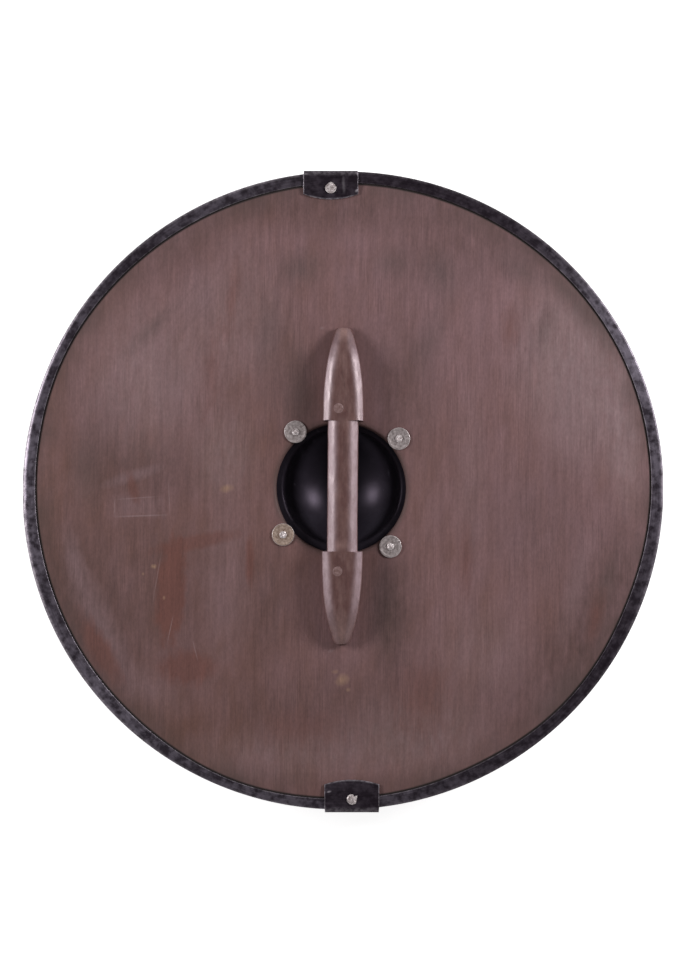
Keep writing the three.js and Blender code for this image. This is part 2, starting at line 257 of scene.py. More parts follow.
# Stained wood: a milky mauve film rubbed over brown stain, so the brown shows through in clouds.
# A mark's numbers are its strength and then those that patch takes.
boardFinish = {
    "brown": "#65463F",
    "film": "#7B5D60",
    "haze": "#7B6265",
    # smudges, and painted shade beside the grip
    "smudgeAndShade": "#524342",
    "redBrown": "#663F38",
    # the thick stain's colour, also used for the painted shade in the first list of broad marks
    "shadeAndThickStain": "#4A3532",
    "milkyStain": "#8C7779",
    "paleFilm": "#8A7273",
    "tan": "#9A7A63",
    # darker near the rim and round the hand hole
    "darkNearEdges": "#4A3A37",
    # painted shadow in the gap under the rim's inner edge
    "gap": "#1A1110",
    "brownMarks": [
        (0.85, 171, 592, 21, 75, -4, 0.35),
        (0.6, 196, 542, 62, 11, 12, 0.5),
        (0.6, 133, 488, 24, 8, -75, 0.6),
        (0.8, 100, 650, 17, 62, 30, 0.6),
        (0.7, 187, 668, 40, 26, 0, 0.5),
        (0.75, 250, 562, 7, 36, 0, 0.6),
        (0.6, 596, 618, 12, 42, -12, 0.8),
        (0.45, 466, 560, 10, 60, 0, 0.9),
        (0.4, 510, 330, 14, 40, 0, 0.9),
        (0.45, 420, 700, 40, 60, 0, 0.9),
        (0.45, 232, 300, 9, 60, -6, 0.9),
        (0.35, 212, 372, 12, 70, -6, 0.9),
        (0.35, 300, 730, 60, 30, 0, 0.9),
    ],
    "filmMarks": [
        (0.35, 225, 582, 36, 110, 2, 0.6),
        (0.55, 100, 625, 24, 110, 24, 0.8),
        (0.5, 133, 476, 9, 46, -72, 0.7),
        (0.35, 140, 507, 32, 14, -3, 0.5, "box"),
        (0.5, 75, 560, 14, 50, 14, 0.8),
        (0.4, 150, 690, 60, 26, -35, 0.9),
        (0.45, 575, 400, 44, 110, 8, 0.9),
        (0.35, 470, 470, 24, 130, 0, 0.9),
        (0.5, 200, 300, 40, 46, -30, 0.9),
        (0.4, 165, 385, 40, 60, 0, 0.9),
        (0.4, 575, 590, 16, 90, -14, 0.9),
    ],
    # broad marks without a softness, kept on the board's vertices: where the stain is thick or milky. The
    # first list also holds painted shade beside the grip's blades and the rim's painted shadow at the upper
    # right
    "shadeAndThick": (
        (0.55, 78, 612, 64, 160, 22), (0.3, 150, 600, 95, 140, 20), (0.55, 603, 610, 60, 140, -22),
        (0.4, 545, 690, 64, 120, -45), (0.3, 540, 520, 85, 85, 0), (0.45, 345, 207, 180, 36, 0),
        (0.45, 150, 470, 75, 46, -10), (0.35, 100, 440, 50, 90, 5),
        # the last mark on this line and all three on the next are painted shade beside the grip's blades
        (0.3, 350, 710, 200, 60, 0), (0.3, 440, 255, 95, 64, 0), (0.65, 392, 612, 36, 95, 0),
        (0.4, 268, 605, 36, 75, 0), (0.4, 405, 385, 46, 95, 0), (0.35, 285, 385, 32, 95, 0),
        (0.3, 185, 245, 95, 42, 35), (0.3, 500, 245, 95, 36, -35),
        # painted shadow of the rim inside its upper right
        (0.65, 577, 303, 15, 125, 40),
    ),
    "milky": (
        (0.3, 150, 375, 85, 105, -10), (0.5, 575, 370, 75, 125, 14), (0.2, 240, 320, 64, 105, 0),
        (0.22, 300, 755, 150, 36, 0), (0.25, 420, 735, 95, 54, 0), (0.4, 625, 440, 26, 95, 5),
        (0.3, 225, 455, 42, 64, 0), (0.15, 480, 650, 64, 64, 0),
    ),
    "smudgeAndShadeMarks": [
        (0.5, 300, 268, 34, 30, 10, 0.9),
        (0.4, 392, 262, 30, 24, 0, 0.9),
        (0.45, 440, 272, 26, 40, 20, 0.9),
        # painted shade beside the grip's upper blade
        (0.45, 300, 395, 24, 80, 0, 0.9),
        (0.4, 520, 270, 40, 20, -35, 0.9),
        (0.35, 430, 340, 22, 60, -25, 0.9),
        (0.4, 545, 330, 20, 46, -20, 0.9),
        # painted shade beside the grip's lower blade
        (0.35, 385, 610, 22, 60, 0, 0.9),
        (0.4, 85, 470, 26, 60, 5, 0.9),
        (0.4, 150, 330, 12, 60, -45, 0.9),
        (0.35, 268, 330, 20, 60, -10, 0.9),
        (0.4, 605, 590, 12, 70, -18, 0.9),
        (0.3, 560, 690, 20, 50, -40, 0.9),
    ],
    "paleMarks": [
        (0.55, 141.5, 515.8, 32, 1.1, 2, 0.6, "box"),
        (0.35, 137, 498, 28, 0.9, 4, 0.6, "box"),
        (0.4, 114.6, 508, 0.9, 11, 0, 0.6, "box"),
        (0.35, 169, 498, 0.9, 22, 2, 0.7, "box"),
        (0.35, 157, 577, 1.0, 36, -10, 0.7),
        (0.5, 170, 630, 0.9, 20, -12, 0.7),
        (0.45, 195, 650, 0.9, 16, 14, 0.7),
        (0.45, 331, 651, 5, 2.6, 20, 0.9),
        (0.45, 322, 328, 3.6, 2.2, 0, 0.9),
    ],
    "tanMarks": [
        (0.6, 227, 488, 10, 6, 15, 0.9),
        (0.8, 153.6, 566.5, 4.2, 3.4, 0, 0.9),
        (0.5, 164, 598, 2, 3, 0, 0.9),
        (0.5, 143, 574, 2, 2.4, 0, 0.9),
        (0.55, 342, 680, 10, 8, 30, 0.9),
        (0.4, 335, 672, 5, 3.4, 0, 0.9),
        (0.4, 348, 690, 4, 3, 0, 0.9),
    ],
    # where the brush was wiped on a slant, at the upper left: a mark without a strength
    "brushed": (190, 300, 120, 90, -40, 1.0),
}


def stainedBoard():
    material, tree, shader = newMaterial("mauve stained wood board")
    look = boardFinish
    place = addNode(tree, "TexCoord", {}, "Object")
    # the film thickens towards the upper right, so the board is lighter there
    slant = addNode(tree, "VectorMath", {0: place, 1: (0.75, 0.85, 0)}, "Value", operation="DOT_PRODUCT")
    film = addNode(tree, "MapRange", {0: slant, 1: -0.34, 2: 0.34, 3: -1.0, 4: -0.5})
    for scale, turn, weight in (((110, 190, 110), -25, 1.2), ((36, 80, 40), -10, 0.9),
                                ((12, 50, 20), 0, 0.5)):
        cloud = clouds(tree, scale, 3, turn)
        film = addNode(tree, "Math", {0: cloud, 1: weight, 2: film}, operation="MULTIPLY_ADD")
    film = addNode(tree, "Clamp", {"Value": film})
    colour = addNode(tree, "Mix", {0: film, 6: look["brown"], 7: look["film"]}, **blend)
    unmarked = colour
    torn = clouds(tree, (7, 18, 7), 4)
    patchy = addNode(tree, "MapRange", {0: torn, 1: 0.3, 2: 0.7, 3: 0.6, 4: 1.3})
    # the first layer is thick stain with painted shade, the second milky film
    for layer in ("shadeAndThick", "milky"):
        layerCover = addNode(tree, "Attribute", {}, "Fac", attribute_name=layer)
        layerCover = addNode(tree, "Math", {0: layerCover, 1: patchy}, operation="MULTIPLY")
        colour = addNode(tree, "Mix", {0: layerCover, 6: colour, 7: look[layer + "Stain"]}, **blend)
    # the smudge marks include painted shade beside the grip
    for marks, over, raggedness in (("smudgeAndShadeMarks", "smudgeAndShade", 0.8), ("filmMarks", "haze", 0.6),
                                    ("brownMarks", "redBrown", 0.8), ("tanMarks", "tan", 0.9),
                                    ("paleMarks", "paleFilm", 0.4)):
        colour = addMarks(tree, colour, look[marks], look[over], torn, raggedness)
    # the front side keeps the stain without the marks
    front = addNode(tree, "Attribute", {}, "Fac", attribute_name="front")
    colour = addNode(tree, "Mix", {0: front, 6: colour, 7: unmarked}, **blend)
    # long streaks, then fine grain drawn 1.4 mm wide, because the real 0.5 mm doesn't show
    streaks = clouds(tree, (5, 150, 20), 3)
    colour = shade(tree, colour, streaks, 0.3, 0.7, 0.9, 1.07)
    grain = clouds(tree, (1.4, 40, 8), 3)
    grained = shade(tree, colour, grain, 0.25, 0.75, 0.8, 1.18)
    rough = addNode(tree, "MapRange", {0: clouds(tree, (46, 100, 46), 3, 14), 1: 0.38, 2: 0.6, 3: 0.15, 4: 1})
    colour = addNode(tree, "Mix", {0: rough, 6: colour, 7: grained}, **blend)
    fleck = clouds(tree, (2.2, 5, 4), 3, shift=(40, 0, 0))
    colour = shade(tree, colour, fleck, 0.3, 0.7, 0.9, 1.09)
    # fibres that lean as the board was cut, 4 to 8 mm apart
    fibres = clouds(tree, (4.5, 26, 12), 4, -9, (11, 7, 0))
    colour = shade(tree, colour, fibres, 0.35, 0.65, 0.93, 1.04)
    wipes = clouds(tree, (5, 60, 20), 3, -42)
    brushed = patch(tree, look["brushed"], torn, 0.6)
    brushed = addNode(tree, "Math", {0: brushed, 1: 0.7}, operation="MULTIPLY")
    wiped = shade(tree, colour, wipes, 0.3, 0.7, 0.86, 1.08)
    colour = addNode(tree, "Mix", {0: brushed, 6: colour, 7: wiped}, **blend)
    # darker in clouds near the rim and darker round the hand hole, and painted shadow in the gap under the
    # rim's edge
    rimClouds = clouds(tree, (60, 60, 60), 3)
    fade = addNode(tree, "MapRange", {0: awayFrom(tree, 0, 0), 1: 335, 2: 367, 3: 0, 4: 1})
    amount = addNode(tree, "MapRange", {0: rimClouds, 1: 0.35, 2: 0.65, 3: 0.1, 4: 0.75})
    nearRim = addNode(tree, "Math", {0: fade, 1: amount}, operation="MULTIPLY")
    colour = addNode(tree, "Mix", {0: nearRim, 6: colour, 7: look["darkNearEdges"]}, **blend)
    fromHub = awayFrom(tree, hub.x / mm + board["holeShift"][0], hub.y / mm + board["holeShift"][1])
    nearHole = addNode(tree, "MapRange", {0: fromHub, 1: board["holeRadius"], 2: board["holeRadius"] + 8,
                                          3: 0.7, 4: 0})
    colour = addNode(tree, "Mix", {0: nearHole, 6: colour, 7: look["darkNearEdges"]}, **blend)
    # painted shadow under the rim's edge
    gap = addNode(tree, "Attribute", {}, "Fac", attribute_name="gap")
    colour = addNode(tree, "Mix", {0: gap, 6: colour, 7: look["gap"]}, **blend)
    roughness = addNode(tree, "MapRange", {0: streaks, 1: 0.3, 2: 0.7, 3: 0.58, 4: 0.75})
    waves = addNode(tree, "Bump", {"Height": clouds(tree, (60, 120, 60), 2), "Distance": 2 * mm,
                                   "Strength": 0.3})
    bumps = addNode(tree, "Bump", {"Height": grain, "Distance": 0.25 * mm, "Strength": 0.3, "Normal": waves})
    wire(tree, shader, {"Base Color": colour, "Roughness": roughness, "Normal": bumps,
                        "Specular IOR Level": 0.35})
    return material


# The same stain on the carved grip, waxed by the hand: dark flats; chamfers worn pale and shiny, their
# paleness partly painted highlight
gripFinish = {
    "flat": "#573A37",
    "flatPale": "#6E524E",
    "palm": "#8E6F6A",
    # the chamfers' colour: wear and painted highlight
    "rubbedAndHighlit": "#957D83",
    "shine": "#FFEEF2",
    "palms": [
        (0.5, 338.8, 408.4, 9, 8, 0, 0.9),
        (0.4, 352, 425, 14, 10, 0, 0.9),
        (0.85, 343.5, 332, 12, 14, 0, 0.9),
        (0.65, 341, 632, 14, 30, 0, 0.9),
        (0.5, 340, 545, 15, 8, 0, 0.9),
    ],
}


def stainedGrip():
    material, tree, shader = newMaterial("rubbed stained wood grip")
    look = gripFinish
    worn = addNode(tree, "Attribute", {}, "Fac", attribute_name="rubbedAndHighlit")
    blotch = clouds(tree, (8, 22, 12), 4)
    pale = addNode(tree, "MapRange", {0: blotch, 1: 0.38, 2: 0.68})
    colour = addNode(tree, "Mix", {0: pale, 6: look["flat"], 7: look["flatPale"]}, **blend)
    torn = clouds(tree, (5, 14, 8), 4, shift=(25, 9, 12))
    colour = addMarks(tree, colour, look["palms"], look["palm"], torn, 0.8)
    # chamfers paler with wear and painted highlight
    amount = addNode(tree, "MapRange", {0: torn, 1: 0.3, 2: 0.6, 3: 0.6, 4: 1})
    rubAndHighlight = addNode(tree, "Math", {0: worn, 1: amount}, operation="MULTIPLY")
    colour = addNode(tree, "Mix", {0: rubAndHighlight, 6: colour, 7: look["rubbedAndHighlit"]}, **blend)
    grain = clouds(tree, (1.6, 30, 5), 3)
    colour = shade(tree, colour, grain, 0.25, 0.75, 0.86, 1.1)
    fleck = clouds(tree, (2.4, 4, 3), 3)
    colour = shade(tree, colour, fleck, 0.3, 0.7, 0.88, 1.09)
    roughness = addNode(tree, "MapRange", {0: torn, 1: 0.3, 2: 0.7, 3: 0.33, 4: 0.46})
    hollows = addNode(tree, "Bump", {"Height": clouds(tree, (7, 16, 9), 3), "Distance": 0.6 * mm,
                                     "Strength": 0.5})
    bumps = addNode(tree, "Bump", {"Height": fleck, "Distance": 0.2 * mm, "Strength": 0.4, "Normal": hollows})
    wire(tree, shader, {"Base Color": colour, "Roughness": roughness, "Normal": bumps,
                        "Specular IOR Level": 0.95, "Specular Tint": look["shine"]})
    return material


# Black enamel baked on the pressed bowl: deep black with a soft blurred shine, a few dusty scuffs and painted
# sheen on the lower bowl
enamelFinish = {
    "black": "#242027",
    "dustAndSheen": "#4C4852",
    "shine": "#F8E2FF",
    "marks": [
        (0.6, 294, 484, 1.6, 2.4, 20, 0.9),
        (0.6, 318, 431, 2.4, 1.5, -30, 0.9),
        (0.5, 389, 473, 1.3, 7, 8, 0.9),
        (0.4, 384, 490, 1.0, 1.2, 0, 0.9),
        (0.25, 302, 453, 4, 7, 0, 0.9),
        (0.3, 314, 441, 3, 3, 0, 0.9),
        (0.25, 389, 528, 8, 4, 30, 0.9),
        # the two broad marks are painted sheen on the lower bowl
        (0.3, 298, 528, 30, 22, -40, 1.0),
        (0.3, 384, 526, 30, 22, 40, 1.0),
    ],
}


def blackEnamel():
    material, tree, shader = newMaterial("satin black enamel")
    look = enamelFinish
    dustAndSheen = clouds(tree, (16, 16, 16), 5)
    dusty = addNode(tree, "MapRange", {0: dustAndSheen, 1: 0.5, 2: 0.75, 3: 0, 4: 0.12})
    colour = addNode(tree, "Mix", {0: dusty, 6: look["black"], 7: look["dustAndSheen"]}, **blend)
    colour = addMarks(tree, colour, look["marks"], look["dustAndSheen"], clouds(tree, (3, 4, 3), 4), 1.1)
    roughness = addNode(tree, "MapRange", {0: dustAndSheen, 1: 0.3, 2: 0.7, 3: 0.31, 4: 0.38})
    orange = addNode(tree, "Bump", {"Height": clouds(tree, (3, 3, 3), 3), "Distance": 0.05 * mm,
                                    "Strength": 0.4})
    wire(tree, shader, {"Base Color": colour, "Roughness": roughness, "Normal": orange,
                        "Specular IOR Level": 0.19, "Specular Tint": look["shine"]})
    return material


# Mild steel blackened in the fire and hammered: dark, mottled, silver where it has worn bare, with painted
# highlight on the rim where it faces the lights
blackFinish = {
    "scale": "#2B242B",
    "scalePale": "#4E464F",
    # painted highlight on the rim's flange
    "brushed": "#7C7480",
    "bare": "#B9B0B8",
    "edgeShine": "#8C8490",
    "marks": [
        (0.25, 343.6, 185, 2.6, 12, 4, 0.9),
        (0.7, 329, 791.5, 3.4, 1.4, 15, 0.8),
        (0.8, 357, 190.5, 3, 2, 30, 0.9),
        (0.5, 306, 174, 3, 1.2, 0, 0.9),
        (0.6, 357.5, 173.6, 2.2, 2, 0, 0.9),
        (0.4, 327, 780, 3, 2, 40, 0.9),
    ],
}


def blackenedSteel():
    material, tree, shader = newMaterial("blackened hammered steel")
    look = blackFinish
    mottle = clouds(tree, (9, 9, 9), 5)
    blots = clouds(tree, (4.5, 4.5, 4.5), 4, shift=(9, 40, 0))
    pale = addNode(tree, "MapRange", {0: mottle, 1: 0.42, 2: 0.85})
    colour = addNode(tree, "Mix", {0: pale, 6: look["scale"], 7: look["scalePale"]}, **blend)
    # painted highlight where the rim's flange faces the lights
    brushed = addNode(tree, "Attribute", {}, "Fac", attribute_name="brushed")
    amount = addNode(tree, "MapRange", {0: mottle, 1: 0.36, 2: 0.6, 3: 0.15, 4: 1})
    brushed = addNode(tree, "Math", {0: brushed, 1: amount}, operation="MULTIPLY")
    colour = addNode(tree, "Mix", {0: brushed, 6: colour, 7: look["brushed"]}, **blend)
    colour = shade(tree, colour, blots, 0.3, 0.7, 0.92, 1.07)
    # drawn out along the rim: 46 mm long and 2 mm wide
    axes = addNode(tree, "SeparateXYZ", {0: addNode(tree, "TexCoord", {}, "Object")})
    around = addNode(tree, "Math", {0: axes.node.outputs["Y"], 1: axes}, operation="ARCTAN2")
    around = addNode(tree, "Math", {0: around, 1: 8.0}, operation="MULTIPLY")
    across = addNode(tree, "Math", {0: awayFrom(tree, 0, 0), 1: 0.5}, operation="MULTIPLY")
    drawn = addNode(tree, "CombineXYZ", {0: around, 1: across})
    drawn = addNode(tree, "TexNoise", {"Vector": drawn, "Scale": 1.0, "Detail": 3, "Roughness": 0.6})
    colour = shade(tree, colour, drawn, 0.3, 0.7, 0.78, 1.28)
    # worn bare, with painted highlight along the rim's outer edge and the clips' folds
    worn = addNode(tree, "Attribute", {}, "Fac", attribute_name="worn")
    broken = addNode(tree, "MapRange", {0: blots, 1: 0.38, 2: 0.62, 3: 0.25, 4: 1})
    worn = addNode(tree, "Math", {0: worn, 1: broken}, operation="MULTIPLY")
    colour = addNode(tree, "Mix", {0: worn, 6: colour, 7: look["bare"]}, **blend)
    colour = addMarks(tree, colour, look["marks"], look["bare"], blots, 1.0)
    roughness = addNode(tree, "MapRange", {0: blots, 1: 0.3, 2: 0.7, 3: 0.36, 4: 0.5})
    bumps = addNode(tree, "Bump", {"Height": blots, "Distance": 0.25 * mm, "Strength": 0.4})
    wire(tree, shader, {"Base Color": colour, "Roughness": roughness, "Normal": bumps, "Metallic": 0.6,
                        "Specular IOR Level": 0.3, "Specular Tint": look["edgeShine"]})
    return material


# Bare steel, cut and peened: pale grey with turning rings, dull marks and a little rust
def bareSteel(name, dull, pale, edge="#E8DFDF", shine=0.6):
    material, tree, shader = newMaterial(name)
    mottle = clouds(tree, (3, 3, 3), 4)
    spots = addNode(tree, "MapRange", {0: mottle, 1: 0.32, 2: 0.68})
    colour = addNode(tree, "Mix", {0: spots, 6: dull, 7: pale}, **blend)
    worn = addNode(tree, "Attribute", {}, "Fac", attribute_name="worn")
    colour = addNode(tree, "Mix", {0: worn, 6: colour, 7: edge}, **blend)
    rings = addNode(tree, "Attribute", {}, "Fac", attribute_name="fromMiddle")
    turned = addNode(tree, "Math", {0: rings, 1: 5.2}, operation="MULTIPLY")
    turned = addNode(tree, "Math", {0: turned}, operation="SINE")
    colour = shade(tree, colour, turned, -1, 1, 0.88, 1.05)
    roughness = addNode(tree, "MapRange", {0: mottle, 1: 0.3, 2: 0.7, 3: 0.38, 4: 0.55})
    bumps = addNode(tree, "Bump", {"Height": mottle, "Distance": 0.15 * mm, "Strength": 0.6})
    wire(tree, shader, {"Base Color": colour, "Roughness": roughness, "Normal": bumps, "Metallic": shine})
    return material


rivetNodes = [n for n in sorted(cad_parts) if "rivet" in n]
rivetHole = 3.4
hub = centreOf("boss")
boardFront, boardBack = boardLow.z / mm, boardHigh.z / mm
boardRadius = boardHigh.x / mm

board = {
    "segments": 240,
    "edgeRound": 4.0,
    "backEdgeRound": 2.2,
    "holeShift": (-0.9, -1.3),
    "holeRadius": 76.9,
    "holeWobble": 0.45,
    "edgeZone": 354,         # the rings stand closer from here out, where the painted shadow of the gap darkens the board
    "rings": 30,
    "edgeRings": 26,
}

rim = {
    "edge": 365,
    # where the flange was hammered wider or narrower: degrees, spread, shift of its inner edge in mm
    "pulls": ((26, 25, 2.8), (112, 18, -1.0), (154, 15, 2.4), (196, 16, -0.6), (250, 15, 3.0),
              (296, 13, -2.9), (338, 13, -2.5)),
    "oval": 2.6,             # the rim is a little out of round, longest at 25 degrees
    "ovalTurn": 25,
    "grow": 0.9,             # how far the long way passes the plain radius, inside the box
    "sheet": 1.5,
    "corner": 2.2,
    "lipRound": 0.4,
    "steps": 330,
    "boxRoom": 0.1,
    "wallDepth": 0.9,        # points less deep than this belong to the outer face
    "endGap": 18,
    "dentDepth": 0.45,
    "dentSize": 11,
    "deepest": 2.4,          # no hammering or rolling goes further down
    # where the flange is rolled over and given painted highlight: degrees, spread, roll in mm, brightness
    "paintedHighlight": ((181, 22, 1.9, 0.7), (27, 18, 0.3, 1.0), (262, 32, 0.2, 0.5), (222, 18, 0.5, 0.65),
               (2, 13, 0.3, 0.45), (112, 16, 0.7, 0.4), (150, 14, 0.6, 0.3), (345, 10, 0.3, 0.15)),
    "turn": 1.9,             # the halves meet a little left of the top and right of the bottom
}
rimTop, rimBottom = rimHigh.z / mm, rimLow.z / mm


def zoneAt(angle, centre, spread):
    # 1 at the centre of a stretch of the rim and 0 away from it, in degrees
    off = (math.degrees(angle) - centre + 180) % 360 - 180
    return math.exp(-(off / spread) ** 2)


def flangeEdge(angle):
    return rim["edge"] + sum(shift * zoneAt(angle, centre, spread) for centre, spread, shift in rim["pulls"])


woodOfBoard = stainedBoard()
woodOfGrip = stainedGrip()
enamel = blackEnamel()
blackSteel = blackenedSteel()
greySteel = bareSteel("bare cut steel", "#8E8180", "#C6BABA")
peenedSteel = bareSteel("bare peened steel", "#A0908F", "#EDE3E4")
rustySteel = bareSteel("bare steel with rust", "#957B6E", "#C9B4A6")
plugSteel = bareSteel("stained over rivet plug", "#6E524F", "#8E7371", "#94797A", 0.15)


# Board


def coverAt(place, marks):
    # how much of a place, in metres, the soft marks cover: 0 to 1
    bare = 1
    for strength, pictureX, pictureY, halfWidth, halfLength, turn in marks:
        off = Vector(place[:2]) / mm - Vector(spot(pictureX, pictureY))
        off.rotate(Matrix.Rotation(math.radians(-turn), 2))
        bare *= 1 - strength * (1 - softStep(0.1, 1.3, math.hypot(off.x / halfWidth, off.y / halfLength)))
    return 1 - bare


def makeBoard():
    hole, soft, small = board["holeRadius"], board["edgeRound"], board["backEdgeRound"]
    zone, count, edgeCount = board["edgeZone"], board["rings"], board["edgeRings"]
    rings = [hole + soft + (zone - hole - soft) * i / count for i in range(count + 1)]
    rings += [zone + (boardRadius - small - zone) * i / edgeCount for i in range(1, edgeCount + 1)]
    profile = arcPoints(hole + soft, boardBack - soft, soft, 180, 90, 6)
    profile += [(r, boardBack) for r in rings[1:]]
    profile += arcPoints(boardRadius - small, boardBack - small, small, 90, 0, 2)[1:]
    profile += arcPoints(boardRadius - small, boardFront + small, small, 0, -90, 2)
    profile += [(r, boardFront) for r in reversed(rings[:-1])]
    profile += arcPoints(hole + soft, boardFront + soft, soft, 270, 180, 6)[1:]
    bm = spinProfile(profile, board["segments"])
    gap, shadeAndThick, milky, front = [bm.verts.layers.float.new(name)
                                for name in ("gap", "shadeAndThick", "milky", "front")]
    for v in bm.verts:
        v[front] = 1 - softStep(boardFront, boardBack, v.co.z / mm)
        # thick stain with painted shade, and milky film, from the broad marks
        if v.co.z > boardBack * mm - soft * mm:
            v[shadeAndThick], v[milky] = coverAt(v.co, boardFinish["shadeAndThick"]), coverAt(v.co, boardFinish["milky"])
        radius = math.hypot(v.co.x, v.co.y)
        inside = flangeEdge(math.atan2(v.co.y, v.co.x)) - radius / mm
        # painted shadow just inside the rim's inner edge
        v[gap] = 1 - softStep(1.5, 3.1, inside)
        near = 1 - softStep(hole * mm, 200 * mm, radius)
        wobble = noise.noise(Vector((v.co.x, v.co.y, 3)) / (60 * mm)) * board["holeWobble"] * mm
        scale = 1 + near * wobble / radius
        v.co.x = v.co.x * scale + near * (hub.x + board["holeShift"][0] * mm)
        v.co.y = v.co.y * scale + near * (hub.y + board["holeShift"][1] * mm)
    piece = addPiece("board_panel", bm, woodOfBoard, ["board"])
    places = [centreOf(n).xy for n in rivetNodes]
    drillHoles(piece, places, rivetHole)


print("board")
makeBoard()


# Rim


def makeRimHalf(name, node, middleAngle):
    outer, sheet, corner = shieldRadius - rim["boxRoom"], rim["sheet"], rim["corner"]
    inner = rim["edge"]
    top, low = rimTop, rimBottom
    across = [inner + (outer - corner - inner) * i / 10 for i in range(11)]
    lipRound = rim["lipRound"]
    profile = [(inner, top - lipRound)] + [(max(r, inner + lipRound), top) for r in across]
    profile += arcPoints(outer - corner, top - corner, corner, 90, 0, 6)[1:]
    profile += [(outer, top - corner - (top - low - 2 * corner) * i / 6) for i in range(1, 6)]
    profile += arcPoints(outer - corner, low + corner, corner, 0, -90, 6)
    profile += [(r, low) for r in reversed(across[:-1])]
    insideCorner = corner - sheet
    profile += [(inner, low + sheet)]
    profile += arcPoints(outer - corner, low + corner, insideCorner, -90, 0, 3)
    profile += arcPoints(outer - corner, top - corner, insideCorner, 0, 90, 3)
    profile += [(inner, top - sheet)]
    gap = math.degrees(math.asin(rim["endGap"] / 2 / outer))
    bm = spinProfile(profile, rim["steps"], 180 - 2 * gap, middleAngle - 90 + gap + rim["turn"])
    worn = bm.verts.layers.float.new("worn")
    brushed = bm.verts.layers.float.new("brushed")
    middleZ = (top + low) / 2
    for v in bm.verts:
        radius = math.hypot(v.co.x, v.co.y) / mm
        angle = math.atan2(v.co.y, v.co.x)
        height = abs(v.co.z / mm - middleZ) - (top - middleZ)
        outside = height > -rim["wallDepth"] or radius > outer - rim["wallDepth"]
        rounding = softStep(outer - corner, outer - 0.3, radius)
        roll, paintedHighlight = 0, 0
        for centre, spread, drop, amount in rim["paintedHighlight"]:
            zone = zoneAt(angle, centre, spread)
            roll += zone * drop
            paintedHighlight += zone * amount
        # hammer marks: shallow round hollows, then a slow waver
        spotAt = Vector((angle * outer, radius * 0.8, v.co.z / mm + 40)) / rim["dentSize"]
        cell = noise.voronoi(spotAt)[0][0]
        dent = max(0, 1 - cell * 1.5) * rim["dentDepth"] + 0.1 * (noise.noise(spotAt * 2.3) + 0.5)
        down = dent * (1 - rounding) + roll * softStep(outer - 5, outer, radius)
        if height > -2.5:
            v.co.z -= math.copysign(min(down, rim["deepest"]) if outside else 0, v.co.z / mm - middleZ) * mm
        # the inner lip is worn, more under painted highlight; the pale outer edge is painted highlight with
        # some wear; the brushed mark is painted highlight
        lip = 1 - softStep(0.3, 1.1, radius - inner)
        away = softStep(outer - 4, outer - 1, radius)
        v[worn] = max(lip * (0.12 + 0.5 * paintedHighlight), away * min(0.16 + roll * 0.45, 1)) if outside else 0
        v[brushed] = min(paintedHighlight, 1) if outside else 0
        # the rim is slightly oval and its inner edge wanders
        oval = rim["oval"] * (math.cos(2 * (angle - math.radians(rim["ovalTurn"]))) - 1) / 2
        out = min(outer + oval + rim["grow"], outer / max(abs(math.cos(angle)), abs(math.sin(angle))))
        edge = flangeEdge(angle)
        radius = edge + (radius - inner) * (out - edge) / (outer - inner)
        v.co.x, v.co.y = radius * mm * math.cos(angle), radius * mm * math.sin(angle)
    addPiece(name, bm, blackSteel, [node], 60)


print("rim")
makeRimHalf("rim_channel_left", "rim_left", 180)
makeRimHalf("rim_channel_right", "rim_right", 0)


# Boss

boss = {
    "sheet": 1.6,
    "bowlRadius": 73.5,
    "flatRadius": 15,
    "mouthRound": 3.5,
    "flangeRadius": 110,
    "segments": 160,
    "bowlSteps": 26,
    "mouthSteps": 7,
}
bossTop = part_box("boss")[1].z / mm


def bossPath(depth):
    # the bowl's section at a depth into the sheet, from the axis out to the flange
    radius, mouthRound = boss["bowlRadius"] - depth, boss["mouthRound"] + depth
    centre = math.sqrt(boss["bowlRadius"] ** 2 - boss["flatRadius"] ** 2)
    roundHeight = bossTop - boss["sheet"] - boss["mouthRound"]
    reach = boss["bowlRadius"] + boss["mouthRound"]
    roundAt = math.sqrt(reach ** 2 - (centre - roundHeight) ** 2)
    touch = math.degrees(math.atan2(roundHeight - centre, roundAt))
    flatEdge = math.degrees(math.asin(-(centre - depth) / radius)) if radius > centre - depth else -90
    path = [(0, depth)]
    path += arcPoints(0, centre, radius, flatEdge, touch, boss["bowlSteps"])
    path += arcPoints(roundAt, roundHeight, mouthRound, 180 + touch, 90, boss["mouthSteps"])[1:]
    path += [(boss["flangeRadius"], bossTop - boss["sheet"] + depth)]
    return path


def makeBoss():
    outside = bossPath(0)
    inside = bossPath(boss["sheet"])
    bm = spinProfile(outside + inside[::-1], boss["segments"])
    bmesh.ops.translate(bm, verts=bm.verts, vec=(hub.x, hub.y, 0))
    piece = addPiece("boss_bowl", bm, enamel, ["boss"], 50)
    drillHoles(piece, [centreOf(n).xy for n in rivetNodes if "clip" not in n], rivetHole)


print("boss")
makeBoss()


# Rivets and washers

